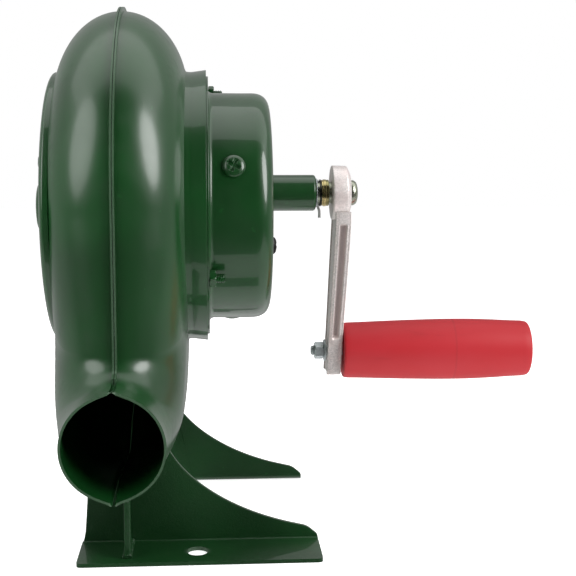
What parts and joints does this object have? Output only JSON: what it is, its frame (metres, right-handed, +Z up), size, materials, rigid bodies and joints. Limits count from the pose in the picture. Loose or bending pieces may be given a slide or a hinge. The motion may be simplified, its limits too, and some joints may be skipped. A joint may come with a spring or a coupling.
{
  "type": "hand crank forge blower",
  "caption": "Hand-cranked centrifugal forge blower: sheet-steel scroll on two bent feet, round gear case, cast crank arm and a grip that spins on its bolt.",
  "frame": {"origin": "middle of the bounding box on the floor the feet stand on", "axes": "+X along the shafts from the intake plate to the grip, -Y the way the outlet blows, +Z up"},
  "size_m": [0.275, 0.2402, 0.2822],
  "materials": {
    "green_enamel": "glossy dark green enamel over sheet steel",
    "enamelled_screw": "steel screw painted over with the case",
    "bearing_bronze": "plain sintered bush",
    "cast_plate": "cast plate, machined faces",
    "zinc_fastener": "bright zinc plate",
    "dark_fastener": "blackened steel, slightly oily",
    "gear_steel": "cut steel",
    "fan_sheet": "bare pressed sheet",
    "yellow_zinc": "yellow passivated zinc",
    "cast_aluminium": "die cast, satin with a grainy skin",
    "red_plastic": "satin moulded red plastic"
  },
  "bodies": {
    "housing": {"scroll_left": "green_enamel", "scroll_right": "green_enamel", "intake_plate": "green_enamel", "intake_bush": "bearing_bronze", "intake_screw_1": "enamelled_screw", "intake_screw_2": "enamelled_screw", "intake_screw_3": "enamelled_screw", "front_foot": "green_enamel", "rear_foot": "green_enamel", "outlet_strut": "green_enamel", "gear_pan": "green_enamel", "gear_plate": "cast_plate", "gear_drum": "green_enamel", "fan_bush": "bearing_bronze", "plate_screw_1": "zinc_fastener", "plate_screw_2": "zinc_fastener", "plate_screw_3": "zinc_fastener", "flange_stud_1": "dark_fastener", "flange_nut_1": "dark_fastener", "flange_stud_2": "dark_fastener", "flange_nut_2": "dark_fastener", "flange_stud_3": "dark_fastener", "flange_nut_3": "dark_fastener", "rim_screw_1": "enamelled_screw", "rim_screw_2": "enamelled_screw", "rim_screw_3": "enamelled_screw", "idler_pin": "dark_fastener", "idler_spacer": "bearing_bronze", "crank_sleeve": "green_enamel", "crank_bush": "bearing_bronze"},
    "crank": {"crank_shaft": "gear_steel", "crank_gear": "gear_steel", "thrust_washer": "dark_fastener", "cotter_pin": "dark_fastener", "spacer_washer": "dark_fastener", "crank_spacer": "yellow_zinc", "crank_arm": "cast_aluminium", "handle_bolt": "zinc_fastener", "handle_washer": "dark_fastener", "handle_nut": "zinc_fastener"},
    "grip": {"handle_grip": "red_plastic"},
    "idler": {"idler_gear": "gear_steel", "idler_pinion": "gear_steel"},
    "fan": {"fan_shaft": "gear_steel", "fan_pinion": "gear_steel", "fan_hub": "fan_sheet", "fan_disc": "fan_sheet", "fan_collar": "fan_sheet", "fan_blade_1": "fan_sheet", "fan_blade_2": "fan_sheet", "fan_blade_3": "fan_sheet", "fan_blade_4": "fan_sheet", "fan_blade_5": "fan_sheet", "fan_blade_6": "fan_sheet", "fan_blade_7": "fan_sheet", "fan_blade_8": "fan_sheet"}
  },
  "joints": [
    {"name": "crank_turn", "type": "hinge", "parent": "housing", "child": "crank", "pos_m": [0.02011, -0.00171, 0.18084], "axis": [1, 0, 0], "continuous": true},
    {"name": "grip_spin", "type": "hinge", "parent": "crank", "child": "grip", "pos_m": [0.08511, -0.00171, 0.09164], "axis": [1, 0, 0], "continuous": true},
    {"name": "idler_turn", "type": "hinge", "parent": "housing", "child": "idler", "pos_m": [-0.03489, -0.02549, 0.15365], "axis": [1, 0, 0], "continuous": true},
    {"name": "fan_turn", "type": "hinge", "parent": "housing", "child": "fan", "pos_m": [-0.08989, -0.00171, 0.1737], "axis": [1, 0, 0], "continuous": true}
  ],
  "couplings": [
    {"joint": "idler_turn", "follows": "crank_turn", "ratio": -5},
    {"joint": "fan_turn", "follows": "crank_turn", "ratio": 20.833}
  ]
}
